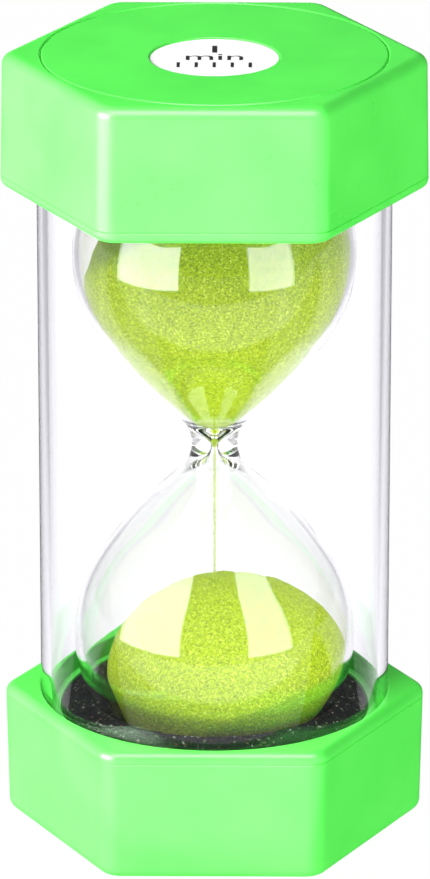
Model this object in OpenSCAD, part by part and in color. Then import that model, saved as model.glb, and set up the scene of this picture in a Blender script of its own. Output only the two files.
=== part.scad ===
// Hexagonal sand timer: two moulded caps, a clear tube between them, and a sealed glass double
// bulb of sand held in foam pads. It stands on the flat end of either cap.

/* [Overall] */
// Height over both caps
height = 160; // [150:1:200]

// Outer diameter of each glass bulb, which the tube and the caps follow
bulb_d = 56.4; // [46:0.2:68]

/* [Caps] */
// Height of one cap with its collar
cap_h = 27.2; // [22:0.1:34]
// Wall between the tube's hole and the middle of each flat side, at the open end
flat_wall = 2; // [1.6:0.1:4]
// How much nearer the axis the corners are at the closed end
cap_draft = 0.45; // [0:0.05:1.5]
// Radius of the six upright edges
corner_round = 5; // [3:0.1:7]
// Radius of the edge round the closed end
end_round = 2.3; // [0.5:0.1:2.8]
// Thickness of the closed end
end_wall = 2.6; // [2:0.1:4]
// Thickness of the outer walls over the corner pockets
side_wall = 1.9; // [1.2:0.1:2.4]
// Thickness of the round wall behind the corner pockets
socket_wall = 1.6; // [1.2:0.1:2]

/* [Collars] */
// Thickness of the plate glued to the open end of each cap
collar_t = 2.4; // [2:0.1:4]
// Radius of the edge round the collar
rim_round = 2.2; // [0.5:0.1:2.4]

/* [End plates] */
// How far inside the tube's outer face the edge of the round plate lies
plate_inset = 1; // [0.5:0.1:1.5]
// Gap between a plate and the hole it is glued into
plate_gap = 0.1; // [0.05:0.05:0.3]
// Bevel on both sides of the joint line round a plate
joint_bevel = 0.3; // [0.1:0.05:0.6]
// Thickness of the ring that stands inside the tube and holds the foam
ring_wall = 1.9; // [1.2:0.1:3]

/* [Label] */
// Diameter of the round label
label_d = 25.2; // [16:0.2:36]
// Thickness of the label
label_t = 0.2; // [0.1:0.05:0.3]
// Depth of the recess that the label is stuck in
label_recess = 0.45; // [0.3:0.05:0.8]
// Gap all round the label in its recess
label_gap = 0.25; // [0.1:0.05:0.5]
// How far the label and its recess lie from the middle of the end, towards the front
label_shift = 2.3; // [0:0.1:4]

/* [Tube] */
// Free room between a bulb and the tube
bulb_room = 4.8; // [2.5:0.1:8]
// Wall of the clear tube
tube_wall = 2; // [1.5:0.1:2.5]
// Glue gap on each side of the tube's wall
tube_gap = 0.1; // [0.05:0.05:0.2]

/* [Glass] */
// Wall of the bulbs
bulb_wall = 1.3; // [1:0.1:1.8]
// Outer diameter of the neck
neck_d = 9.3; // [7:0.1:12]
// Diameter of the bore in the neck
bore_d = 1.1; // [0.8:0.1:2]
// Radius of the long curve from a bulb to the neck
shoulder_round = 90; // [70:5:160]
// Outer radius of the hollow round the neck
neck_round = 7.8; // [3:0.1:10]
// Inner radius where the throat runs into the bore
throat_round = 4.2; // [2:0.1:6]

/* [Stopper] */
// Diameter of the filling hole at the top of the glass
fill_d = 6; // [4:0.5:10]
// How far the stopper reaches down from the top of the glass
stopper_depth = 3; // [2:0.5:6]
// Rim of the stopper's head beyond the hole
stopper_rim = 1.4; // [1:0.1:3]
// Height of the stopper's head above the glass
stopper_head = 1.6; // [1:0.1:3]

/* [Foam pads] */
// How far below a collar's face the foam and its ring stop
pad_drop = 2.9; // [1:0.1:6]
// Foam under the lower bulb
lower_pad_floor = 8.4; // [4:0.1:12]
// Foam over the upper bulb
upper_pad_floor = 10; // [6:0.1:12]
// Gap round a pad inside its ring
pad_gap = 0.2; // [0.1:0.1:1]
// Height that the foam is squeezed up round a bulb
pad_crown = 2.2; // [0.5:0.1:3]
// How far in from the pad's edge the foam is highest
crown_in = 5; // [3:0.5:8]

/* [Sand] */
// Gap between the sand and the glass
sand_gap = 0.05; // [0.02:0.01:0.1]
// Height of the upper sand above the centre of its bulb
upper_fill = 14.5; // [4:0.5:20]
// Width of the level sand left round the hollow that draining makes
crater_margin = 4.6; // [2:0.2:10]
// Depth of that hollow
crater_depth = 11; // [4:1:12]
// How near the glass the slumped side of the upper sand is at the height of the bulb's centre
slump_in = 3.1; // [2:0.1:8]
// Lean of that slumped side from the vertical
slump_lean = 11; // [0:1:30]
// Height of the mound's top above the centre of the lower bulb
mound_top = 10.1; // [0:0.1:16]
// How much less than the bulb's radius the radius of the mound's round top is
mound_less = 2.3; // [1.5:0.1:6]
// How far the mound lies to one side
mound_shift = 3.2; // [0:0.1:5]
// Diameter of the falling stream
stream_d = 0.6; // [0.3:0.1:0.7]

/* [Hidden] */
$fn = 96;
corner_fn = 36;
eps = 0.01;

ball_r = bulb_d / 2;
tube_in_r = ball_r + bulb_room;
tube_r = tube_in_r + tube_wall;
socket_r = tube_r + tube_gap;
corner_open = (socket_r + flat_wall) / cos(30);
corner_closed = corner_open - cap_draft;
seam_z = cap_h - collar_t;
rim_r = min(rim_round, collar_t - 0.1);
plate_r = tube_r - plate_inset;
plate_hole_r = plate_r + plate_gap;
ring_out_r = tube_in_r - tube_gap;
ring_in_r = ring_out_r - ring_wall;
pad_top = cap_h - pad_drop;
pad_r = ring_in_r - pad_gap;

glass_len = height - 2 * end_wall - lower_pad_floor - upper_pad_floor;
neck_z = end_wall + lower_pad_floor + glass_len / 2;
ball_off = glass_len / 2 - ball_r;
cavity_r = ball_r - bulb_wall;
crater_r = sqrt(cavity_r^2 - upper_fill^2) - crater_margin;
mound_r = ball_r - mound_less;

lime = [0.45, 0.95, 0.42];
sand_green = [0.78, 0.90, 0.10];
foam_black = [0.08, 0.08, 0.09];

// Points along an arc, from angle a0 to angle a1
function arc(c, r, a0, a1, steps) =
    [for (i = [0 : steps]) let (a = a0 + (a1 - a0) * i / steps) c + r * [cos(a), sin(a)]];

// Largest hollow radius that still leaves room for a curve between a waist and a ball
function fitting_round(r_ball, r_waist, wanted) =
    min(wanted, 0.95 * (ball_off^2 + r_waist^2 - r_ball^2) / (2 * (r_ball - r_waist)));

// Centre of the long curve that touches the ball inside and the hollow at the waist outside.
// Points are [height above the neck, distance from the axis].
function curve_centre(r_ball, r_long, q, r_hollow) =
    let (
        gap = norm([ball_off, q]),
        to_ball = r_long - r_ball,
        along = (to_ball^2 - (r_long + r_hollow)^2 + gap^2) / (2 * gap),
        across = sqrt(to_ball^2 - along^2)
    )
    [ball_off, 0] + along * [-ball_off, q] / gap - across * [q, ball_off] / gap;

// Outline of one bulb from the waist to its far end: hollow, long curve, ball
function bulb_outline(r_ball, r_long, r_waist, r_hollow) =
    let (
        q = r_waist + r_hollow,
        c = curve_centre(r_ball, r_long, q, r_hollow),
        a_hollow = atan2(c.y - q, c.x),
        a_ball = atan2(-c.y, ball_off - c.x)
    )
    concat(
        arc([0, q], r_hollow, -90, a_hollow, 8),
        arc(c, r_long, a_hollow + 180, a_ball, 8),
        [for (i = [1 : 24]) let (a = a_ball * (1 - i / 24)) [ball_off, 0] + r_ball * [cos(a), sin(a)]]
    );

// Solid of revolution of both bulbs about the neck
module double_bulb(r_ball, r_long, r_waist, r_wanted) {
    r_hollow = fitting_round(r_ball, r_waist, r_wanted);
    half = bulb_outline(r_ball, r_long, r_waist, r_hollow);
    last = len(half) - 1;
    translate([0, 0, neck_z])
        rotate_extrude()
            polygon(concat(
                [for (i = [last : -1 : 1]) [half[i].y, -half[i].x]],
                [for (i = [0 : last]) [half[i].y, half[i].x]]
            ));
}

// Space inside the glass, drawn in by a gap
module cavity(gap) {
    double_bulb(cavity_r - gap, shoulder_round - bulb_wall - gap, bore_d / 2 - gap, throat_round);
}

// Places its children at the six corners of a hexagon whose sharp corners are at radius r
module at_corners(r, z) {
    for (a = [0 : 60 : 300])
        rotate([0, 0, a])
            translate([r - corner_round / cos(30), 0, z])
                children();
}

// Top half of one rounded corner of an edge
module edge_ring(r_edge) {
    rotate_extrude($fn = corner_fn)
        translate([corner_round - r_edge, 0])
            intersection() {
                circle(r_edge, $fn = corner_fn);
                square(r_edge);
            }
}

// Hexagonal cap body: round edge at the closed end, stepped hole, hollow corners
module cap_body() {
    difference() {
        hull() {
            at_corners(corner_closed, end_round) mirror([0, 0, 1]) edge_ring(end_round);
            at_corners(corner_open, seam_z - eps) cylinder(h = eps, r = corner_round, $fn = corner_fn);
        }
        translate([0, 0, end_wall]) cylinder(h = cap_h, r = socket_r);
        translate([0, 0, -1]) cylinder(h = end_wall + 2, r = plate_hole_r);
        translate([0, 0, -eps])
            cylinder(h = joint_bevel + eps, r1 = plate_hole_r + joint_bevel, r2 = plate_hole_r);
        translate([0, 0, end_wall])
            linear_extrude(height = cap_h)
                difference() {
                    circle(corner_closed - side_wall / cos(30), $fn = 6);
                    circle(socket_r + socket_wall);
                }
    }
}

// Hexagonal plate with a round edge and the tube's hole
module collar() {
    difference() {
        hull() {
            at_corners(corner_open, seam_z) cylinder(h = eps, r = corner_round, $fn = corner_fn);
            at_corners(corner_open, cap_h - rim_r) edge_ring(rim_r);
        }
        translate([0, 0, seam_z - 1]) cylinder(h = collar_t + 2, r = socket_r);
    }
}

// Round plate with a recess on its outer face and a ring that stands inside the tube
module end_plate() {
    difference() {
        union() {
            cylinder(h = joint_bevel, r1 = plate_r - joint_bevel, r2 = plate_r);
            translate([0, 0, joint_bevel]) cylinder(h = end_wall - joint_bevel, r = plate_r);
            cylinder(h = pad_top, r = ring_out_r);
        }
        translate([0, 0, end_wall]) cylinder(h = pad_top, r = ring_in_r);
        translate([0, -label_shift, -1])
            cylinder(h = label_recess + 1, r = label_d / 2 + label_gap);
    }
}

// Foam disc with a round hollow for a bulb and a crown round it, standing at the bottom of its ring
module foam_pad(pad_floor) {
    difference() {
        union() {
            translate([0, 0, end_wall]) cylinder(h = pad_top - end_wall, r = pad_r);
            translate([0, 0, pad_top]) cylinder(h = pad_crown, r1 = pad_r, r2 = pad_r - crown_in);
        }
        translate([0, 0, end_wall + pad_floor + ball_r]) sphere(ball_r);
    }
}

// Turns a piece of the bottom end over to the top end
module at_top() {
    translate([0, 0, height]) mirror([0, 0, 1]) children();
}

module bottom_cap() { color(lime) cap_body(); }

module bottom_collar() { color(lime) collar(); }

module bottom_end_plate() { color(lime) end_plate(); }

module lower_foam_pad() { color(foam_black) foam_pad(lower_pad_floor); }

// Clear tube, its ends against the closed ends of the caps
module clear_tube() {
    color([0.85, 0.90, 0.95, 0.25])
        translate([0, 0, end_wall])
            difference() {
                cylinder(h = height - 2 * end_wall, r = tube_r);
                translate([0, 0, -1]) cylinder(h = height, r = tube_in_r);
            }
}

// One fused piece of glass: two bulbs, a thick neck with a fine bore, and a filling hole
module glass_bulbs() {
    color([0.88, 0.95, 0.98, 0.35])
        difference() {
            double_bulb(ball_r, shoulder_round, neck_d / 2, neck_round);
            cavity(0);
            translate([0, 0, neck_z + ball_off]) cylinder(h = ball_r + 1, r = fill_d / 2);
        }
}

// Soft stopper: a round body in the filling hole and a wider head over the glass
module fill_plug() {
    glass_top = neck_z + glass_len / 2;
    color([0.90, 0.90, 0.86])
        difference() {
            union() {
                translate([0, 0, glass_top - stopper_depth])
                    cylinder(h = stopper_depth + stopper_head, r = fill_d / 2);
                translate([0, 0, glass_top - stopper_rim])
                    cylinder(h = stopper_rim + stopper_head, r = fill_d / 2 + stopper_rim);
            }
            difference() {
                translate([0, 0, neck_z + ball_off]) sphere(ball_r);
                cylinder(h = height, r = fill_d / 2);
            }
        }
}

// Mound in the lower bulb, heaped to one side
module lower_sand() {
    centre_z = neck_z - ball_off;
    color(sand_green)
        intersection() {
            cavity(sand_gap);
            translate([mound_shift, 0, centre_z + mound_top - mound_r]) sphere(mound_r);
        }
}

// Thread of falling sand from the bore down to the mound
module sand_stream() {
    mound_z = neck_z - ball_off + mound_top - mound_r;
    landing_z = mound_z + sqrt(mound_r^2 - mound_shift^2);
    color(sand_green)
        translate([0, 0, landing_z]) cylinder(h = neck_z - landing_z, r = stream_d / 2);
}

// Sand still in the upper bulb: hollowed by draining, slumped away from the glass on one side
module upper_sand() {
    centre_z = neck_z + ball_off;
    fill_z = centre_z + upper_fill;
    color(sand_green)
        difference() {
            intersection() {
                cavity(sand_gap);
                translate([0, 0, neck_z]) cylinder(h = fill_z - neck_z, r = ball_r);
            }
            translate([0, 0, fill_z - crater_depth])
                cylinder(h = crater_depth + eps, r1 = 0, r2 = crater_r);
            translate([slump_in - ball_r, 0, centre_z])
                rotate([0, slump_lean, 0])
                    translate([-ball_r, -ball_r, -ball_r]) cube([ball_r, bulb_d, bulb_d]);
        }
}

// As the lower pad, with room for the head of the stopper
module upper_foam_pad() {
    pocket_h = stopper_head + stopper_rim;
    color(foam_black)
        difference() {
            at_top() foam_pad(upper_pad_floor);
            translate([0, 0, neck_z + glass_len / 2 - stopper_rim])
                cylinder(h = pocket_h + pad_gap, r = fill_d / 2 + stopper_rim + pad_gap);
        }
}

module top_end_plate() { color(lime) at_top() end_plate(); }

module top_collar() { color(lime) at_top() collar(); }

module top_cap() { color(lime) at_top() cap_body(); }

// Round paper label stuck in the recess of the top plate
module top_label() {
    color("white")
        at_top()
            translate([0, -label_shift, label_recess - label_t])
                cylinder(h = label_t, r = label_d / 2);
}

bottom_cap();
bottom_collar();
bottom_end_plate();
lower_foam_pad();
clear_tube();
glass_bulbs();
fill_plug();
lower_sand();
sand_stream();
upper_sand();
upper_foam_pad();
top_end_plate();
top_collar();
top_cap();
top_label();
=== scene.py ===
import math

import bmesh
import bpy
import numpy as np
from mathutils import Matrix, Vector


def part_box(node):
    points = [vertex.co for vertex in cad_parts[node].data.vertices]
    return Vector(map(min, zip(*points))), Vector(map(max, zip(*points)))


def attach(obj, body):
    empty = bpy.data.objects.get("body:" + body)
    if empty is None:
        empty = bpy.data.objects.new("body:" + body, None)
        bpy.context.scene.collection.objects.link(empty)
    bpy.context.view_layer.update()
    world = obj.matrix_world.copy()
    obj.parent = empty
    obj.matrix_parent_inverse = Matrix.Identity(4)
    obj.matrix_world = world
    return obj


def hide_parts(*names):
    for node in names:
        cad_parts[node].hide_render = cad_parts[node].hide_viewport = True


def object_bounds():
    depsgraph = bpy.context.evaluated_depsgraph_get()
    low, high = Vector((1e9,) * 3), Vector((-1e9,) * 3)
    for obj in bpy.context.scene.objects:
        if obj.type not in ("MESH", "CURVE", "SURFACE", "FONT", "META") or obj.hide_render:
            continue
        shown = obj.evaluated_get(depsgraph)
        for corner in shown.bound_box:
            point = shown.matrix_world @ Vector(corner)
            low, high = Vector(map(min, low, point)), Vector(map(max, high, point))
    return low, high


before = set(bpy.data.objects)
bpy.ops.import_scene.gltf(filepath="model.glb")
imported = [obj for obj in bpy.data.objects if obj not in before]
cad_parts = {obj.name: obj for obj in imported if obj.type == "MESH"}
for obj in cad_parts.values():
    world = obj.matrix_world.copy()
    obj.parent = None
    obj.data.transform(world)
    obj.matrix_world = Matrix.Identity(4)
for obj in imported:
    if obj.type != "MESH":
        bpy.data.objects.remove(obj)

cad_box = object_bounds()

# ---------------------------------------------------------------------------------------------
# Cap bodies. Each end of the timer is a hexagonal shell moulded in glossy lime ABS, with drafted
# sides and a round edge at the closed end. The tube is glued into its round socket.
# ---------------------------------------------------------------------------------------------
MM = 0.001
height = cad_box[1].z
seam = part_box("bottom_collar")[0].z
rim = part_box("bottom_collar")[1].z
end_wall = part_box("clear_tube")[0].z
tube_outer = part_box("clear_tube")[1].x
plate_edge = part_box("bottom_end_plate")[1].x
socket = tube_outer + 0.1 * MM
plate_hole = plate_edge + 0.1 * MM
corner = 5 * MM
end_round = 2.3 * MM
seam_bevel = 0.18 * MM
joint_bevel = 0.3 * MM
reach_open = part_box("bottom_collar")[1].x - corner
reach_closed = reach_open - 0.45 * MM


def linear(colour):
    """Linear RGBA of an sRGB hex colour: each channel under 0.04045 is divided by 12.92, and any
    other is raised to 2.4 after the offset of 0.055 is taken out."""
    srgb = np.array([int(colour[i : i + 2], 16) for i in (0, 2, 4)]) / 255
    rgb = np.where(srgb <= 0.04045, srgb / 12.92, ((srgb + 0.055) / 1.055) ** 2.4)
    return (*rgb.tolist(), 1.0)


def material(name):
    """A material with an empty node tree."""
    made = bpy.data.materials.new(name)
    made.use_nodes = True
    made.node_tree.nodes.clear()
    return made


def add(tree, kind, settings=None, inputs=None):
    """Adds a node. settings are its own attributes, with "ramp" or "steps" as (place, colour)
    stops that blend or jump, and inputs are its sockets by name or number, each a value or the
    socket that feeds it."""
    node = tree.nodes.new(kind)
    for name, value in (settings or {}).items():
        if name in ("ramp", "steps"):
            node.color_ramp.interpolation = "LINEAR" if name == "ramp" else "CONSTANT"
            while len(node.color_ramp.elements) < len(value):
                node.color_ramp.elements.new(0.5)
            for stop, (place, colour) in zip(node.color_ramp.elements, value):
                stop.position = place
                stop.color = colour
        else:
            setattr(node, name, value)
    for name, value in (inputs or {}).items():
        if isinstance(value, bpy.types.NodeSocket):
            tree.links.new(value, node.inputs[name])
        else:
            node.inputs[name].default_value = value
    return node


def hexagon(reach, corner, z):
    """Outline of a hexagon with round corners, shape (points, 3). At each corner an arc of radius
    corner turns 60 degrees about a centre at distance reach from the axis, and equal steps along
    the straight sides join the arcs."""
    turn = np.radians(60 * np.arange(6))[:, None]
    bearing = turn + np.radians(np.linspace(-30, 30, 13))[None]
    x = reach * np.cos(turn) + corner * np.cos(bearing)
    y = reach * np.sin(turn) + corner * np.sin(bearing)
    arcs = np.stack([x, y, np.full_like(x, z)], axis=-1)
    start, stop = arcs[:, -1:], np.roll(arcs[:, :1], -1, axis=0)
    along = np.linspace(0, 1, 15)[1:-1][None, :, None]
    sides = start + (stop - start) * along
    return np.concatenate([arcs, sides], axis=1).reshape(-1, 3)


def circle(radius, z, bearing, centre_y=0.0):
    """Points at the given bearings on a circle at height z about (0, centre_y)."""
    x, y = radius * np.cos(bearing), centre_y + radius * np.sin(bearing)
    return np.stack([x, y, np.full_like(x, z)], axis=-1)


def between(ring_a, ring_b, share):
    """The ring that lies a share of the way from ring_a to ring_b."""
    return ring_a + (ring_b - ring_a) * share


def turned_over(grid):
    """The same shape at the other end of the timer: each height is taken from the full height."""
    return grid * [1, 1, -1] + [0, 0, height]


def surface(name, grid, finish, node=None, closed=True, sharp=38):
    """Mesh over grid[ring, point]: quads join each ring to the next, and the last to the first
    where closed. Points that meet, as at a pole, are merged, and the normals are turned outwards.
    The piece rides on the one body, takes the slot's finish and stands for the node."""
    rings, around = grid.shape[:2]
    here = np.arange(rings * around).reshape(rings, around)
    beside = np.roll(here, -1, axis=1)
    quads = np.stack([here, beside, np.roll(beside, -1, axis=0), np.roll(here, -1, axis=0)], axis=-1)
    quads = quads[: rings if closed else rings - 1].reshape(-1, 4)
    mesh = bpy.data.meshes.new(name)
    mesh.from_pydata(grid.reshape(-1, 3).tolist(), [], quads.tolist())
    shell = bmesh.new()
    shell.from_mesh(mesh)
    bmesh.ops.remove_doubles(shell, verts=shell.verts, dist=1e-7)
    bmesh.ops.recalc_face_normals(shell, faces=shell.faces)
    shell.to_mesh(mesh)
    shell.free()
    mesh.shade_smooth()
    mesh.set_sharp_from_angle(angle=math.radians(sharp))
    mesh.materials.append(finish)
    piece = bpy.data.objects.new(name, mesh)
    bpy.context.scene.collection.objects.link(piece)
    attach(piece, "root")
    if node:
        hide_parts(node)
    return piece


# Moulded ABS, glossy with a faint orange peel: saturated lime with soft, slightly uneven highlights
abs_gloss = material("moulded_lime_abs")
tree = abs_gloss.node_tree
place = add(tree, "ShaderNodeTexCoord").outputs["Object"]
cloud = add(tree, "ShaderNodeTexNoise", inputs={"Vector": place, "Scale": 1 / (14 * MM), "Detail": 3.0})
peel = add(tree, "ShaderNodeTexNoise", inputs={"Vector": place, "Scale": 1 / (0.9 * MM), "Detail": 2.0})
body_colour = add(
    tree,
    "ShaderNodeValToRGB",
    {"ramp": [(0.35, linear("50EB4D")), (0.65, linear("56F152"))]},
    {"Fac": cloud.outputs["Fac"]},
)
gloss = add(
    tree,
    "ShaderNodeMapRange",
    inputs={
        "Value": cloud.outputs["Fac"],
        "From Min": 0.3,
        "From Max": 0.7,
        "To Min": 0.27,
        "To Max": 0.36,
    },
)
relief = add(
    tree,
    "ShaderNodeBump",
    inputs={"Strength": 0.12, "Distance": 0.02 * MM, "Height": peel.outputs["Fac"]},
)
skin = add(
    tree,
    "ShaderNodeBsdfPrincipled",
    inputs={
        "Base Color": body_colour.outputs["Color"],
        "Roughness": gloss.outputs["Result"],
        "Normal": relief.outputs["Normal"],
        "IOR": 1.52,
    },
)
add(tree, "ShaderNodeOutputMaterial", inputs={"Surface": skin.outputs["BSDF"]})

outline = hexagon(reach_open, corner, 0)
cap_bearing = np.arctan2(outline[:, 1], outline[:, 0])


def cap_side(z, inset):
    """Outline of the cap at height z, drawn in by inset. The distance of the corner centres from
    the axis grows evenly from the closed end to the seam, which gives the sides their draft."""
    share = min(max((z - end_round) / (seam - end_round), 0), 1)
    return hexagon(reach_closed + (reach_open - reach_closed) * share, corner - inset, z)


lip = circle(plate_hole + joint_bevel, 0, cap_bearing)
flat_end = cap_side(0, end_round)
roll = np.radians(np.linspace(0, 90, 13)[1:])
cap_rings = [
    circle(plate_hole, end_wall, cap_bearing),
    circle(plate_hole, joint_bevel, cap_bearing),
    lip,
    between(lip, flat_end, 0.9),
    flat_end,
]
cap_rings += [cap_side(end_round * (1 - math.cos(a)), end_round * (1 - math.sin(a))) for a in roll]
cap_rings += [
    cap_side(end_round + 0.4 * MM, 0),
    cap_side((end_round + seam) / 2, 0),
    cap_side(seam - seam_bevel - 0.4 * MM, 0),
    cap_side(seam - seam_bevel, 0),
    cap_side(seam, seam_bevel),
    circle(socket, seam, cap_bearing),
    circle(socket, end_wall, cap_bearing),
]
cap_grid = np.stack(cap_rings)
surface("bottom_cap_shell", cap_grid, abs_gloss, "bottom_cap")
surface("top_cap_shell", turned_over(cap_grid), abs_gloss, "top_cap")

# ---------------------------------------------------------------------------------------------
# Collars. A hexagonal rim plate of the same ABS closes the open end of each cap round the tube.
# It is glued on, which leaves a fine groove round the faces, and its outer edge is well rounded.
# ---------------------------------------------------------------------------------------------
rim_round = 1.8 * MM
hole_round = 0.2 * MM
roll = np.radians(np.linspace(0, 90, 13))
rim_flat = hexagon(reach_open, corner - rim_round, rim)
hole_lip = circle(socket + hole_round, rim, cap_bearing)
collar_rings = [
    circle(socket, seam, cap_bearing),
    hexagon(reach_open, corner - seam_bevel, seam),
    hexagon(reach_open, corner, seam + seam_bevel),
]
collar_rings += [
    hexagon(
        reach_open,
        corner - rim_round * (1 - math.cos(a)),
        rim - rim_round * (1 - math.sin(a)),
    )
    for a in roll
]
collar_rings += [
    between(hole_lip, rim_flat, 0.1),
    hole_lip,
    circle(socket + 0.3 * hole_round, rim - 0.3 * hole_round, cap_bearing),
    circle(socket, rim - hole_round, cap_bearing),
]
collar_grid = np.stack(collar_rings)
surface("bottom_collar_rim", collar_grid, abs_gloss, "bottom_collar")
surface("top_collar_rim", turned_over(collar_grid), abs_gloss, "top_collar")

# ---------------------------------------------------------------------------------------------
# End plates. A round ABS disc is glued into the closed end of each cap, and its inner ring stands
# inside the tube and holds the foam. The outer face has a shallow recess for the label.
# ---------------------------------------------------------------------------------------------
label_lo, label_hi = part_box("top_label")
label_y = (label_lo.y + label_hi.y) / 2
label_radius = (label_hi.x - label_lo.x) / 2
recess_radius = label_radius + 0.25 * MM
recess = 0.45 * MM
tube_inner = tube_outer - 2 * MM
ring_outer = tube_inner - 0.1 * MM
ring_inner = ring_outer - 1.9 * MM
ring_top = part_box("bottom_end_plate")[1].z
even = 2 * math.pi * np.arange(180) / 180


def soft_corner(radius, z, size, out_r, out_z):
    """Three (radius, z) points that round a corner: size along the wall, a point pulled a third
    of the way back from the corner, and size along the face."""
    return [
        (radius, z + out_z * size),
        (radius + out_r * size * 0.3, z + out_z * size * 0.3),
        (radius + out_r * size, z),
    ]


plate_profile = [(0, recess, label_y), (recess_radius - 0.3 * MM, recess, label_y)]
plate_profile += [(recess_radius, recess - 0.05 * MM, label_y), (recess_radius, 0.1 * MM, label_y)]
plate_profile += [(recess_radius + 0.1 * MM, 0, label_y), (recess_radius + 0.6 * MM, 0, label_y)]
plate_profile += [(plate_edge - joint_bevel - 0.3 * MM, 0, 0), (plate_edge - joint_bevel, 0, 0)]
plate_profile += [(plate_edge, joint_bevel, 0), (plate_edge, end_wall - 0.02 * MM, 0)]
plate_profile += [(ring_outer, end_wall - 0.02 * MM, 0)]
plate_profile += [(r, z, 0) for r, z in soft_corner(ring_outer, ring_top, 0.5 * MM, -1, -1)]
plate_profile += [(r, z, 0) for r, z in soft_corner(ring_inner, ring_top, 0.5 * MM, 1, -1)[::-1]]
plate_profile += [(ring_inner, end_wall, 0), (0, end_wall, 0)]
plate_grid = np.stack([circle(r, z, even, y) for r, z, y in plate_profile])
surface("bottom_plate_disc", plate_grid, abs_gloss, "bottom_end_plate", closed=False)
surface("top_plate_disc", turned_over(plate_grid), abs_gloss, "top_end_plate", closed=False)

# ---------------------------------------------------------------------------------------------
# Foam pads. A disc of black crumb foam, flecked with scraps of colour, is pressed into each ring
# and dished for the bulb. Cut foam gives it a slightly uneven face and soft edges.
# ---------------------------------------------------------------------------------------------
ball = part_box("glass_bulbs")[1].x
lower_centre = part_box("glass_bulbs")[0].z + ball
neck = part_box("sand_stream")[1].z
ball_height = neck - lower_centre
pad_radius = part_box("lower_foam_pad")[1].x
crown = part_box("lower_foam_pad")[1].z
seat = ball + 0.12 * MM
pad_round = 0.6 * MM
stopper_depth = 3.4 * MM
crumb_size = 0.42 * MM


def waves(x, y, seed, size):
    """Gentle uneven relief between about -1 and 1: the mean of eight sine waves of random
    direction and phase, with lengths from half to twice size."""
    rng = np.random.default_rng(seed)
    way, phase = rng.uniform(0, 2 * math.pi, (2, 8))
    pitch = 2 * math.pi / (size * 2.0 ** rng.uniform(-1, 1, 8))
    steps = x[..., None] * np.cos(way) + y[..., None] * np.sin(way)
    return np.sin(steps * pitch + phase).mean(axis=-1) * 2


def foam_grid(ball_centre, floor, seed, pocket=0.0):
    """Turned foam disc with a dished face. The dish follows the ball at a small gap up to the
    crown, from which the face falls in half a cosine wave to the level of the ring. Gentle waves
    make the face uneven, and pocket is the radius of a hole in the middle for the stopper."""
    mouth = math.sqrt(seat**2 - (ball_centre - crown) ** 2)
    dish_r = np.linspace(pocket, mouth - 0.2 * MM, 26)
    dish_z = ball_centre - np.sqrt(seat**2 - dish_r**2)
    fall = np.linspace(0, 1, 16)
    face_r = mouth + 0.3 * MM + (pad_radius - pad_round - mouth - 0.3 * MM) * fall
    face_z = ring_top + (crown - ring_top) * (1 + np.cos(math.pi * fall)) / 2
    edge = np.radians(np.linspace(0, 90, 5)[1:])
    edge_r = pad_radius - pad_round * (1 - np.sin(edge))
    edge_z = ring_top - pad_round * (1 - np.cos(edge))
    sunk = dish_z[0] - (stopper_depth if pocket else 0)
    radii = np.concatenate([[0, pocket], dish_r, face_r, edge_r, [pad_radius, 0]])
    levels = np.concatenate([[sunk, sunk], dish_z, face_z, edge_z, [floor, floor]])
    grid = np.stack([circle(r, z, even) for r, z in zip(radii, levels)])
    face = slice(2 + len(dish_r), 2 + len(dish_r) + len(face_r))
    lift = np.clip(waves(grid[face, :, 0], grid[face, :, 1], seed, 4 * MM), -1, 1)
    grid[face, :, 2] -= 0.1 * MM * (1 - lift)
    return grid


# Crumb foam: nearly black and dull, with pinholes and small grey, green and rust flecks
foam = material("black_crumb_foam")
tree = foam.node_tree
place = add(tree, "ShaderNodeTexCoord").outputs["Object"]
crumb = add(tree, "ShaderNodeTexVoronoi", inputs={"Vector": place, "Scale": 1 / crumb_size})
chance = add(tree, "ShaderNodeSeparateColor", inputs={"Color": crumb.outputs["Color"]})
fleck = add(
    tree,
    "ShaderNodeValToRGB",
    {
        "steps": [
            (0.0, linear("050506")),
            (0.5, linear("0A0B0C")),
            (0.82, linear("16181A")),
            (0.91, linear("34422F")),
            (0.945, linear("5E6C50")),
            (0.965, linear("52362B")),
            (0.985, linear("8A9086")),
        ]
    },
    {"Fac": chance.outputs["Red"]},
)
pores = add(
    tree,
    "ShaderNodeBump",
    inputs={"Strength": 0.8, "Distance": 0.12 * MM, "Height": crumb.outputs["Distance"]},
)
dull = add(
    tree,
    "ShaderNodeMapRange",
    inputs={"Value": chance.outputs["Green"], "To Min": 0.6, "To Max": 0.95},
)
skin = add(
    tree,
    "ShaderNodeBsdfPrincipled",
    inputs={
        "Base Color": fleck.outputs["Color"],
        "Roughness": dull.outputs["Result"],
        "Normal": pores.outputs["Normal"],
        "Specular IOR Level": 0.1,
    },
)
add(tree, "ShaderNodeOutputMaterial", inputs={"Surface": skin.outputs["BSDF"]})

lower_foam = surface(
    "lower_foam_disc",
    foam_grid(lower_centre, end_wall + 0.02 * MM, 5),
    foam,
    "lower_foam_pad",
    closed=False,
    sharp=60,
)
upper_ball = height - (neck + ball_height)
upper_foam = surface(
    "upper_foam_disc",
    turned_over(foam_grid(upper_ball, end_wall + 0.02 * MM, 6, pocket=4.6 * MM)),
    foam,
    "upper_foam_pad",
    closed=False,
    sharp=60,
)

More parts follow.
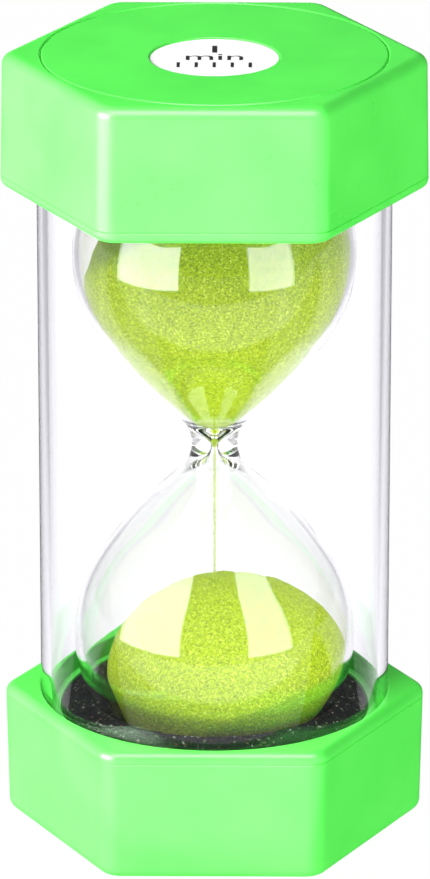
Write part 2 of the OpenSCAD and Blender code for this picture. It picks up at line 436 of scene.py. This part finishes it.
# ---------------------------------------------------------------------------------------------
# Clear tube. An extruded acrylic tube, cut square, stands in the sockets of both caps and shields
# the glass. The die leaves faint lines along its length.
# ---------------------------------------------------------------------------------------------
levels = np.linspace(end_wall, height - end_wall, 12)
cut = 0.15 * MM
tube_profile = [(tube_outer - cut, levels[0]), (tube_outer, levels[0] + cut)]
tube_profile += [(tube_outer, z) for z in levels[1:-1]]
tube_profile += [(tube_outer, levels[-1] - cut), (tube_outer - cut, levels[-1])]
tube_profile += [(tube_inner + cut, levels[-1]), (tube_inner, levels[-1] - cut)]
tube_profile += [(tube_inner, z) for z in levels[-2:0:-1]]
tube_profile += [(tube_inner, levels[0] + cut), (tube_inner + cut, levels[0])]
tube_grid = np.stack([circle(r, z, even) for r, z in tube_profile])

# Extruded acrylic: fully clear and mirroring little, with a lilac-grey cast where the wall is seen
# edge on and faint lines along its length
acrylic = material("extruded_clear_acrylic")
tree = acrylic.node_tree
place = add(tree, "ShaderNodeTexCoord").outputs["Object"]
stretch = add(tree, "ShaderNodeMapping", inputs={"Vector": place, "Scale": (1, 1, 0.02)})
die_line = add(
    tree,
    "ShaderNodeTexNoise",
    inputs={"Vector": stretch.outputs["Vector"], "Scale": 1 / (2.5 * MM), "Detail": 2.0},
)
relief = add(
    tree,
    "ShaderNodeBump",
    inputs={"Strength": 0.05, "Distance": 0.05 * MM, "Height": die_line.outputs["Fac"]},
)
skin = add(
    tree,
    "ShaderNodeBsdfPrincipled",
    inputs={
        "Base Color": linear("FFFFFF"),
        "Roughness": 0.0,
        "Transmission Weight": 1.0,
        "Normal": relief.outputs["Normal"],
        "IOR": 1.49,
        "Specular IOR Level": 0.05,
    },
)
cast = add(tree, "ShaderNodeVolumeAbsorption", inputs={"Color": linear("C4BFDE"), "Density": 42.0})
add(
    tree,
    "ShaderNodeOutputMaterial",
    inputs={"Surface": skin.outputs["BSDF"], "Volume": cast.outputs["Volume"]},
)
tube = surface("acrylic_tube", tube_grid, acrylic, "clear_tube")
# Lamps light what is inside as if the clear wall were not there
tube.visible_shadow = False
tube.visible_diffuse = False

# ---------------------------------------------------------------------------------------------
# Glass bulbs. Two bulbs are blown and fused at a thick neck with a fine bore, so the glass is one
# piece. The filling hole is at the top, under the upper pad.
# ---------------------------------------------------------------------------------------------
glass_wall = 1.3 * MM
waist = 4.65 * MM
bore = 0.55 * MM
long_curve = 90 * MM
hollow = 7.8 * MM
throat = 4.2 * MM
fill_hole = 3 * MM


def arc(centre, radius, start, stop, steps):
    """Points on an arc about centre, from angle start to angle stop, in radians."""
    angle = np.linspace(start, stop, steps + 1)
    return np.stack([centre[0] + radius * np.cos(angle), centre[1] + radius * np.sin(angle)], axis=-1)


def bulb_outline(ball, long_curve, waist, hollow, end=0.0):
    """Outline of one bulb as (height above the neck, radius) points: a hollow arc at the waist,
    one long arc, and the ball down to the angle end from the axis. The long arc touches the ball
    from inside and the hollow from outside, so its centre lies long_curve less ball from the
    ball's centre and long_curve plus hollow from the hollow's."""
    q = waist + hollow
    gap = math.hypot(ball_height, q)
    to_ball = long_curve - ball
    along = (to_ball**2 - (long_curve + hollow) ** 2 + gap**2) / (2 * gap)
    across = math.sqrt(to_ball**2 - along**2)
    cx = ball_height - (along * ball_height + across * q) / gap
    cy = (along * q - across * ball_height) / gap
    from_hollow = math.atan2(cy - q, cx)
    to_cheek = math.atan2(-cy, ball_height - cx)
    return np.concatenate(
        [
            arc((0, q), hollow, -math.pi / 2, from_hollow, 14),
            arc((cx, cy), long_curve, from_hollow + math.pi, to_cheek, 22)[1:],
            arc((ball_height, 0), ball, to_cheek, end, 44)[1:],
        ]
    )


def double_outline(ball, long_curve, waist, hollow, top_end=0.0):
    """Both bulbs as (radius, z) points from the bottom of the lower to the top of the upper."""
    lower = bulb_outline(ball, long_curve, waist, hollow)[:0:-1] * [-1, 1]
    upper = bulb_outline(ball, long_curve, waist, hollow, top_end)
    both = np.concatenate([lower, upper])
    return np.stack([both[:, 1], neck + both[:, 0]], axis=-1)


def turned(profile, bearing=even):
    """Surface of revolution: each (radius, z) point of the profile becomes a ring."""
    radius, z = np.asarray(profile).T[:, :, None]
    flat = np.broadcast_to(z, (len(profile), len(bearing)))
    return np.stack([radius * np.cos(bearing), radius * np.sin(bearing), flat], axis=-1)


inner_ball = ball - glass_wall
outer_profile = double_outline(ball, long_curve, waist, hollow, math.asin(fill_hole / ball))
inner_profile = double_outline(
    inner_ball, long_curve - glass_wall, bore, throat, math.asin(fill_hole / inner_ball)
)
glass_grid = turned(np.concatenate([outer_profile[::-1], inner_profile]))

# Blown soda-lime glass: clear, with slow waves from the flame that bend what lies behind it
blown_glass = material("blown_soda_lime_glass")
tree = blown_glass.node_tree
place = add(tree, "ShaderNodeTexCoord").outputs["Object"]
flame_wave = add(
    tree, "ShaderNodeTexNoise", inputs={"Vector": place, "Scale": 1 / (9 * MM), "Detail": 1.0}
)
relief = add(
    tree,
    "ShaderNodeBump",
    inputs={"Strength": 0.1, "Distance": 0.3 * MM, "Height": flame_wave.outputs["Fac"]},
)
skin = add(
    tree,
    "ShaderNodeBsdfPrincipled",
    inputs={
        "Base Color": linear("FFFFFF"),
        "Roughness": 0.0,
        "Transmission Weight": 1.0,
        "Normal": relief.outputs["Normal"],
        "IOR": 1.52,
    },
)
add(tree, "ShaderNodeOutputMaterial", inputs={"Surface": skin.outputs["BSDF"]})
glass = surface("blown_double_bulb", glass_grid, blown_glass, "glass_bulbs", sharp=60)
# As for the tube, lamps shine straight through to the sand
glass.visible_shadow = False
glass.visible_diffuse = False

# ---------------------------------------------------------------------------------------------
# Stopper. A soft rubber plug closes the filling hole, pushed in until its head sits on the glass.
# ---------------------------------------------------------------------------------------------
plug_lo, plug_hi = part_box("fill_plug")
head = plug_hi.x - 0.05 * MM
stem = fill_hole - 0.02 * MM
glass_top = neck + ball_height + ball
plug_profile = [(0, plug_lo.z), (stem - 0.6 * MM, plug_lo.z), (stem - 0.1 * MM, plug_lo.z + 0.5 * MM)]
plug_profile += [(stem, glass_top - 1.2 * MM), (stem, glass_top - 0.1 * MM), (head, glass_top - 0.25 * MM)]
plug_profile += [(head, plug_hi.z - 0.5 * MM), (head - 0.15 * MM, plug_hi.z - 0.15 * MM)]
plug_profile += [(head - 0.5 * MM, plug_hi.z), (1.2 * MM, plug_hi.z), (1.0 * MM, plug_hi.z - 0.2 * MM)]
plug_profile += [(0, plug_hi.z - 0.2 * MM)]

# Moulded silicone rubber: milky and matt, with a slightly dusty bloom
silicone = material("moulded_silicone_rubber")
tree = silicone.node_tree
place = add(tree, "ShaderNodeTexCoord").outputs["Object"]
bloom = add(tree, "ShaderNodeTexNoise", inputs={"Vector": place, "Scale": 1 / (1.5 * MM), "Detail": 4.0})
milk = add(
    tree,
    "ShaderNodeValToRGB",
    {"ramp": [(0.3, linear("D8D7CE")), (0.7, linear("EAE9E2"))]},
    {"Fac": bloom.outputs["Fac"]},
)
skin = add(
    tree,
    "ShaderNodeBsdfPrincipled",
    inputs={"Base Color": milk.outputs["Color"], "Roughness": 0.6, "IOR": 1.43},
)
add(tree, "ShaderNodeOutputMaterial", inputs={"Surface": skin.outputs["BSDF"]})
surface("silicone_stopper", turned(plug_profile), silicone, "fill_plug", closed=False)

# ---------------------------------------------------------------------------------------------
# Sand. Fine dyed sand with some bright grains lies in both bulbs: a heap in the lower one, blown
# a little to one side, and a slumped mass with a drained hollow in the upper one.
# ---------------------------------------------------------------------------------------------
sand_gap = 0.07 * MM
mound_x = 3.2 * MM
mound_z = 30 * MM
mound_wide = 25 * MM
mound_high = 19.3 * MM
grain = 0.25 * MM


def within_ball(grid, centre_z, radius):
    """Points pulled towards the ball's centre until none is farther than radius from it."""
    centre = np.array([0, 0, centre_z])
    arm = grid - centre
    far = np.linalg.norm(arm, axis=-1, keepdims=True)
    return centre + arm * np.minimum(1, radius / np.maximum(far, 1e-9))


# Dyed quartz sand: dull yellow-green grains, some darker, and a few bright ones that catch light
sand = material("dyed_quartz_sand")
tree = sand.node_tree
place = add(tree, "ShaderNodeTexCoord").outputs["Object"]
grains = add(tree, "ShaderNodeTexVoronoi", inputs={"Vector": place, "Scale": 1 / grain})
chance = add(tree, "ShaderNodeSeparateColor", inputs={"Color": grains.outputs["Color"]})
dye = add(
    tree,
    "ShaderNodeValToRGB",
    {
        "ramp": [
            (0.0, linear("88A800")),
            (0.35, linear("B0CF00")),
            (0.85, linear("C8E604")),
            (1.0, linear("F2FF60")),
        ]
    },
    {"Fac": chance.outputs["Red"]},
)
sparkle = add(
    tree,
    "ShaderNodeMapRange",
    inputs={
        "Value": chance.outputs["Green"],
        "From Min": 0.9,
        "From Max": 0.95,
        "To Min": 0.75,
        "To Max": 0.2,
    },
)
relief = add(
    tree,
    "ShaderNodeBump",
    {"invert": True},
    {"Strength": 0.7, "Distance": 0.12 * MM, "Height": grains.outputs["Distance"]},
)
skin = add(
    tree,
    "ShaderNodeBsdfPrincipled",
    inputs={
        "Base Color": dye.outputs["Color"],
        "Roughness": sparkle.outputs["Result"],
        "Normal": relief.outputs["Normal"],
        "IOR": 1.54,
        "Specular IOR Level": 0.25,
    },
)
add(tree, "ShaderNodeOutputMaterial", inputs={"Surface": skin.outputs["BSDF"]})

fall = np.radians(np.linspace(0, 90, 46))
mound_profile = [(mound_wide * math.sin(a), mound_z + mound_high * math.cos(a)) for a in fall]
foot_wide = 0.85 * mound_wide
foot_z = mound_z - 17 * MM
foot_sag = 3 * MM
mound_profile += [
    (mound_wide + (foot_wide - mound_wide) * s, mound_z + (foot_z - mound_z) * s)
    for s in np.linspace(0.05, 1, 20)
]
mound_profile += [(foot_wide * s, foot_z - foot_sag * (1 - s)) for s in np.linspace(0.9, 0, 10)]
mound_grid = turned(mound_profile) + [mound_x, 0, 0]
mound_lean = np.maximum(0, mound_z - mound_grid[..., 2:])
mound_grid = mound_grid + mound_lean * [0.12, 0.05, 0]
mound_grid[..., 2] += 0.12 * MM * waves(mound_grid[..., 0], mound_grid[..., 1], 11, 5 * MM)
mound_grid = within_ball(mound_grid, lower_centre, inner_ball - sand_gap)
surface("sand_heap", mound_grid, sand, "lower_sand", closed=False, sharp=180)

fill_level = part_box("upper_sand")[1].z
upper_centre = neck + ball_height
slump_foot = 111 * MM
slump_x = -26.4 * MM
slump_curl = 0.042 / MM
sand_outline = bulb_outline(
    inner_ball - sand_gap, long_curve - glass_wall - sand_gap, bore - sand_gap, throat
)
sand_outline = np.stack([sand_outline[:, 1], neck + sand_outline[:, 0]], axis=-1)
sand_outline = sand_outline[sand_outline[:, 1] < fill_level - 0.3 * MM]
brim = math.sqrt((inner_ball - sand_gap) ** 2 - (fill_level - upper_centre) ** 2)
crater = brim - 4.6 * MM
hill = np.linspace(1, 0, 14)[:, None]
top_profile = [(brim - 0.4 * MM, fill_level), (crater + 0.4 * MM, fill_level)]
top_profile = np.concatenate([top_profile, hill * [crater, 11 * MM] + [0, fill_level - 11.2 * MM]])
upper_grid = turned(np.concatenate([[(0, neck)], sand_outline, top_profile]))
slump = slump_x + slump_curl * np.maximum(0, upper_grid[..., 2] - slump_foot) ** 2
slump += 0.25 * MM * waves(upper_grid[..., 1], upper_grid[..., 2], 12, 6 * MM)
soft = 0.6 * MM
upper_grid[..., 0] = slump + soft * np.logaddexp(0, (upper_grid[..., 0] - slump) / soft)
upper_grid = within_ball(upper_grid, upper_centre, ball_height + waist)
surface("sand_mass", upper_grid, sand, "upper_sand", closed=False, sharp=180)

# The falling thread: a column of grains that wavers in width, from the bore down to the heap
landing = mound_z + mound_high * math.sqrt(1 - (mound_x / mound_wide) ** 2)
drop = np.linspace(neck - 0.1 * MM, landing - 0.3 * MM, 160)
thread_bearing = 2 * math.pi * np.arange(12) / 12
waver = waves(drop, 0 * drop, 21, 1.2 * MM)
thread_radius = 0.21 * MM + 0.05 * MM * waver
thread = turned(np.stack([thread_radius, drop], axis=-1), thread_bearing)
thread = np.concatenate([thread[:1] * [0, 0, 1], thread, thread[-1:] * [0, 0, 1]])

# Falling sand: the same grains far apart, so that much of what lies behind shows through
loose_sand = material("loose_falling_sand")
tree = loose_sand.node_tree
place = add(tree, "ShaderNodeTexCoord").outputs["Object"]
clump = add(tree, "ShaderNodeTexNoise", inputs={"Vector": place, "Scale": 1 / (0.8 * MM)})
cover = add(
    tree, "ShaderNodeMapRange", inputs={"Value": clump.outputs["Fac"], "To Min": 0.25, "To Max": 0.6}
)
skin = add(
    tree,
    "ShaderNodeBsdfPrincipled",
    inputs={"Base Color": linear("D2EC1E"), "Roughness": 0.6, "Alpha": cover.outputs["Result"]},
)
add(tree, "ShaderNodeOutputMaterial", inputs={"Surface": skin.outputs["BSDF"]})
surface("falling_sand", thread, loose_sand, "sand_stream", closed=False, sharp=180)

# ---------------------------------------------------------------------------------------------
# Label. A round of coated white paper is stuck in the recess of the top plate, with the running
# time printed on it in black: a generic numeral, a unit and a row of scale marks.
# ---------------------------------------------------------------------------------------------
paper_top, paper_low = label_hi.z, label_lo.z
edge = 0.06 * MM
label_profile = [(0, paper_top), (label_radius * 0.5, paper_top), (label_radius - 0.8 * MM, paper_top)]
label_profile += [(label_radius - edge, paper_top), (label_radius, paper_top - edge)]
label_profile += [(label_radius, paper_low), (0, paper_low)]
label_grid = turned(label_profile) + [0, label_y, 0]

# Coated paper: bright white with a low sheen and a trace of fibre
paper = material("coated_label_paper")
tree = paper.node_tree
place = add(tree, "ShaderNodeTexCoord").outputs["Object"]
fibre = add(tree, "ShaderNodeTexNoise", inputs={"Vector": place, "Scale": 1 / (0.5 * MM), "Detail": 5.0})
white = add(
    tree,
    "ShaderNodeValToRGB",
    {"ramp": [(0.3, linear("F6F6F4")), (0.7, linear("FDFDFC"))]},
    {"Fac": fibre.outputs["Fac"]},
)
relief = add(
    tree,
    "ShaderNodeBump",
    inputs={"Strength": 0.1, "Distance": 0.01 * MM, "Height": fibre.outputs["Fac"]},
)
skin = add(
    tree,
    "ShaderNodeBsdfPrincipled",
    inputs={"Base Color": white.outputs["Color"], "Roughness": 0.45, "Normal": relief.outputs["Normal"]},
)
add(tree, "ShaderNodeOutputMaterial", inputs={"Surface": skin.outputs["BSDF"]})
surface("paper_label", label_grid, paper, "top_label", closed=False)

# Printing ink: dense black, a little uneven in cover
ink = material("black_printing_ink")
tree = ink.node_tree
place = add(tree, "ShaderNodeTexCoord").outputs["Object"]
cover = add(tree, "ShaderNodeTexNoise", inputs={"Vector": place, "Scale": 1 / (0.3 * MM), "Detail": 3.0})
black = add(
    tree,
    "ShaderNodeValToRGB",
    {"ramp": [(0.3, linear("060606")), (0.8, linear("1C1C1E"))]},
    {"Fac": cover.outputs["Fac"]},
)
skin = add(
    tree,
    "ShaderNodeBsdfPrincipled",
    inputs={"Base Color": black.outputs["Color"], "Roughness": 0.5},
)
add(tree, "ShaderNodeOutputMaterial", inputs={"Surface": skin.outputs["BSDF"]})
ink_thick = 0.02 * MM


def printed(name, text, letter_height, line_y, stretch=1.0):
    """Text as a thin mesh of ink on the paper, letter_height tall and centred on line_y. Stretch
    widens the letters. The curve is extruded to a depth of 1 and then scaled to the ink's."""
    curve = bpy.data.curves.new(name, "FONT")
    curve.body = text
    curve.align_x = "CENTER"
    curve.align_y = "CENTER"
    curve.extrude = 0.5
    words = bpy.data.objects.new(name, curve)
    bpy.context.scene.collection.objects.link(words)
    bpy.context.view_layer.update()
    mesh = bpy.data.meshes.new_from_object(words)
    bpy.data.objects.remove(words)
    corners = np.array([v.co for v in mesh.vertices])
    low, high = corners.min(axis=0), corners.max(axis=0)
    size = letter_height / (high[1] - low[1])
    mesh.transform(Matrix.Translation([-x / 2 for x in (low + high)]))
    mesh.transform(Matrix.Diagonal((size * stretch, size, ink_thick, 1)))
    mesh.transform(Matrix.Translation((0, line_y, paper_top + ink_thick / 2)))
    mesh.materials.append(ink)
    piece = bpy.data.objects.new(name, mesh)
    bpy.context.scene.collection.objects.link(piece)
    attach(piece, "root")


printed("print_numeral", "1", 4.6 * MM, label_y + 5.7 * MM, 1.5)
printed("print_unit", "min", 4.0 * MM, label_y + 0.5 * MM, 1.3)
printed("print_scale", "l l l l l", 3.2 * MM, label_y - 4.7 * MM, 1.5)

# ---------------------------------------------------------------------------------------------
# Studio. A white sweep without a seam, two tall windows that the glass mirrors, softboxes for the
# caps and for the sand, cards on the table, and a long lens that looks down on the timer.
# ---------------------------------------------------------------------------------------------
# Bounds of the painted light and painted shadow that the sweep shows through the glass
painted_light_front = -0.28
shade_front = -0.065
shade_back = 0.015
wedge_half = 0.08

scene = bpy.context.scene
scene.view_settings.view_transform = "Standard"

# White sweep. It glows more than it is lit, so most of its light is painted. To the camera it is
# plain white. Seen through the glass it is painted bright in a wedge behind the timer and on the
# table in front, and painted darker in the timer's own shade, a painted shadow, past the table's
# front edge and to the sides, which gives the glass and the tube their grey edge lines. To matt
# surfaces it glows as painted bounce light, and in reflections it is painted dark.
sweep = material("white_studio_sweep")
tree = sweep.node_tree
ray = add(tree, "ShaderNodeLightPath")
spot = add(tree, "ShaderNodeTexCoord")
place = add(tree, "ShaderNodeSeparateXYZ", inputs={"Vector": spot.outputs["Object"]})
aside = add(tree, "ShaderNodeMath", {"operation": "ABSOLUTE"}, {0: place.outputs["X"]})
behind = add(tree, "ShaderNodeMath", {"operation": "MULTIPLY"}, {0: place.outputs["Y"], 1: 0.35})
ahead = add(tree, "ShaderNodeMath", {"operation": "MULTIPLY"}, {0: place.outputs["Y"], 1: -1.2})
reach = add(tree, "ShaderNodeMath", {"operation": "MAXIMUM"}, {0: behind.outputs[0], 1: ahead.outputs[0]})
beyond = add(tree, "ShaderNodeMath", {"operation": "SUBTRACT"}, {0: aside.outputs[0], 1: reach.outputs[0]})
# Painted light: a bright wedge behind the timer, dimmer to the sides
wedge = add(
    tree,
    "ShaderNodeMapRange",
    inputs={
        "Value": beyond.outputs[0],
        "From Min": wedge_half - 0.02,
        "From Max": wedge_half + 0.02,
        "To Min": 1.5,
        "To Max": 0.75,
    },
)
# Painted light on the table in front, which falls to painted shade past its front edge
table = add(
    tree,
    "ShaderNodeMapRange",
    inputs={
        "Value": place.outputs["Y"],
        "From Min": painted_light_front - 0.005,
        "From Max": painted_light_front + 0.005,
        "To Min": 0.25,
        "To Max": 0.85,
    },
)
# Painted shadow of the timer on the sweep, between shade_front and shade_back
shade = add(
    tree,
    "ShaderNodeMath",
    {"operation": "COMPARE"},
    {0: place.outputs["Y"], 1: (shade_front + shade_back) / 2, 2: (shade_back - shade_front) / 2},
)
front = add(tree, "ShaderNodeMix", inputs={0: shade.outputs[0], 2: table.outputs["Result"], 3: 0.08})
past = add(tree, "ShaderNodeMath", {"operation": "GREATER_THAN"}, {0: place.outputs["Y"], 1: shade_back})
length = add(tree, "ShaderNodeMix", inputs={0: past.outputs[0], 2: front.outputs[0], 3: 1.0})
through = add(tree, "ShaderNodeMath", {"operation": "MULTIPLY"}, {0: wedge.outputs[0], 1: length.outputs[0]})
# Glow by kind of ray, each later mix winning: painted bounce light to matt surfaces, a painted dark
# reflection to glossy rays, the painted light and shade above through the glass, and plain white to the
# camera
level = add(tree, "ShaderNodeValue")
level.outputs["Value"].default_value = 1.4
views = (("Is Glossy Ray", 0.05), ("Is Transmission Ray", through.outputs["Value"]), ("Is Camera Ray", 1.04))
for kind, seen in views:
    level = add(tree, "ShaderNodeMix", inputs={0: ray.outputs[kind], 2: level.outputs[0], 3: seen})
matt = add(tree, "ShaderNodeBsdfDiffuse", inputs={"Color": linear("F2F2F2")})
glow = add(tree, "ShaderNodeEmission", inputs={"Color": (1, 1, 1, 1), "Strength": level.outputs[0]})
ground = add(
    tree, "ShaderNodeMixShader", inputs={0: 0.94, 1: matt.outputs["BSDF"], 2: glow.outputs["Emission"]}
)
add(tree, "ShaderNodeOutputMaterial", inputs={"Surface": ground.outputs["Shader"]})
floor_mesh = bpy.data.meshes.new("studio_floor")
floor_mesh.from_pydata([(-4, -4, 0), (4, -4, 0), (4, 6, 0), (-4, 6, 0)], [], [(0, 1, 2, 3)])
floor_mesh.materials.append(sweep)
floor = bpy.data.objects.new("studio_floor", floor_mesh)
scene.collection.objects.link(floor)

# The room: dim for matt and glossy surfaces, and a bright wall behind the timer, dark overhead,
# for what is seen through the glass
world = bpy.data.worlds.new("studio_room")
scene.world = world
world.use_nodes = True
tree = world.node_tree
tree.nodes.clear()
ray = add(tree, "ShaderNodeLightPath")
direction = add(tree, "ShaderNodeTexCoord")
way = add(tree, "ShaderNodeSeparateXYZ", inputs={"Vector": direction.outputs["Generated"]})
behind = add(
    tree,
    "ShaderNodeMapRange",
    inputs={"Value": way.outputs["Y"], "From Min": 0.6, "From Max": 0.9, "To Min": 0.1, "To Max": 1.22},
)
ceiling = add(
    tree,
    "ShaderNodeMapRange",
    inputs={"Value": way.outputs["Z"], "From Min": 0.45, "From Max": 0.8, "To Min": 1.0, "To Max": 0.15},
)
backdrop = add(
    tree,
    "ShaderNodeMath",
    {"operation": "MULTIPLY"},
    {0: behind.outputs["Result"], 1: ceiling.outputs["Result"]},
)
cool, white = (0.95, 0.97, 1, 1), (1, 1, 1, 1)
sky = add(tree, "ShaderNodeBackground", inputs={"Color": cool, "Strength": 0.33})
views = (
    ("Is Glossy Ray", cool, 0.16),
    ("Is Transmission Ray", white, backdrop.outputs["Value"]),
    ("Is Camera Ray", white, 1.04),
)
for kind, tint, strength in views:
    wall = add(tree, "ShaderNodeBackground", inputs={"Color": tint, "Strength": strength})
    sky = add(
        tree,
        "ShaderNodeMixShader",
        inputs={0: ray.outputs[kind], 1: sky.outputs[0], 2: wall.outputs["Background"]},
    )
add(tree, "ShaderNodeOutputWorld", inputs={"Surface": sky.outputs["Shader"]})


def group(name, members):
    """A collection of the pieces that a lamp lights."""
    chosen = bpy.data.collections.new(name)
    for member in members:
        chosen.objects.link(member)
    return chosen


def softbox(name, azimuth, distance, middle, aim, width, tall, radiance, rays, lit=None):
    """An area lamp at a bearing in degrees from the front and a distance from the axis, with its
    middle at one height and aimed at another height on the axis. Its power is the radiance times
    pi and its area. rays names the kinds of ray that meet it, and lit is the group of pieces that
    it lights, or everything."""
    lamp = bpy.data.lights.new(name, "AREA")
    lamp.shape = "RECTANGLE"
    lamp.size, lamp.size_y = width, tall
    lamp.energy = radiance * math.pi * width * tall
    box = bpy.data.objects.new(name, lamp)
    bearing = math.radians(azimuth)
    box.location = (math.sin(bearing) * distance, -math.cos(bearing) * distance, middle)
    box.rotation_mode = "QUATERNION"
    box.rotation_quaternion = (box.location - Vector((0, 0, aim))).to_track_quat("Z", "Y")
    box.visible_camera = False
    box.visible_glossy = "glossy" in rays
    box.visible_diffuse = "diffuse" in rays
    box.visible_transmission = "transmission" in rays
    if lit:
        box.light_linking.receiver_collection = lit
    scene.collection.objects.link(box)


def made_of(*finishes):
    """The pieces whose material is one of the finishes."""
    return [o for o in scene.objects if o.type == "MESH" and o.active_material in finishes]


shells = group("shells", made_of(abs_gloss, paper, ink))
fillings = group("fillings", made_of(sand, loose_sand, foam, silicone))
middle = height / 2
flat = 1000
both = ("diffuse", "glossy")

# Two tall windows, which only the bulbs mirror: they end too high for the tube to show them
softbox("left_window", -53, 0.4, 0.433, 0.433, 0.39, 0.835, 8.0, ("transmission",))
softbox("right_window", 45.4, 0.4, 0.433, 0.433, 0.263, 0.835, 6.2, ("transmission",))

# Softboxes: strong on the caps' left, weak on their right, one overhead for what the glass holds
# and one that draws the highlight along the caps' upper edges
softbox("left_softbox", -60, 0.9, 0.2, middle, 0.9, 1.0, 20, both, shells)
softbox("right_softbox", 43, 0.9, 0.2, middle, 0.8, 1.0, 2.0, both, shells)
softbox("overhead_softbox", 0, 0.34, 1.08, middle, 2.0, 0.45, 7.2, both, fillings)
softbox("edge_softbox", 0, 0.4, 0.8, middle, 0.9, 0.5, 10.0, ("glossy",), shells)

# Cards that lie flat on the table, aimed far above it, and throw light up
softbox("table_bounce", 0, 0.5, 0.001, flat, 1.4, 0.9, 0.5, ("diffuse",), fillings)
softbox("table_card", 0, 0.5, 0.001, flat, 1.4, 0.9, 2.2, ("glossy",), shells)
softbox("side_card", -60, 0.45, 0.002, flat, 0.5, 0.6, 3.5, ("glossy",), shells)

# Camera: a long lens a little over a metre away, looking down, with the timer filling the frame
camera = bpy.data.objects.new("camera", bpy.data.cameras.new("camera"))
scene.collection.objects.link(camera)
scene.camera = camera
elevation, yaw = math.radians(20.253), math.radians(0.5)
level_back = Vector((math.sin(yaw), -math.cos(yaw), 0))
back = level_back * math.cos(elevation) + Vector((0, 0, math.sin(elevation)))
right = Vector((math.cos(yaw), math.sin(yaw), 0))
up = back.cross(right)
aim = Vector((0, 0, height / 2)) + right * 0.09 * MM - up * 0.39 * MM
camera.rotation_mode = "QUATERNION"
camera.rotation_quaternion = back.to_track_quat("Z", "Y")
camera.location = aim + back * 1347.45 * MM
camera.data.sensor_width = 36
camera.data.lens = 276.84
camera.data.clip_start = 0.05
camera.data.clip_end = 40
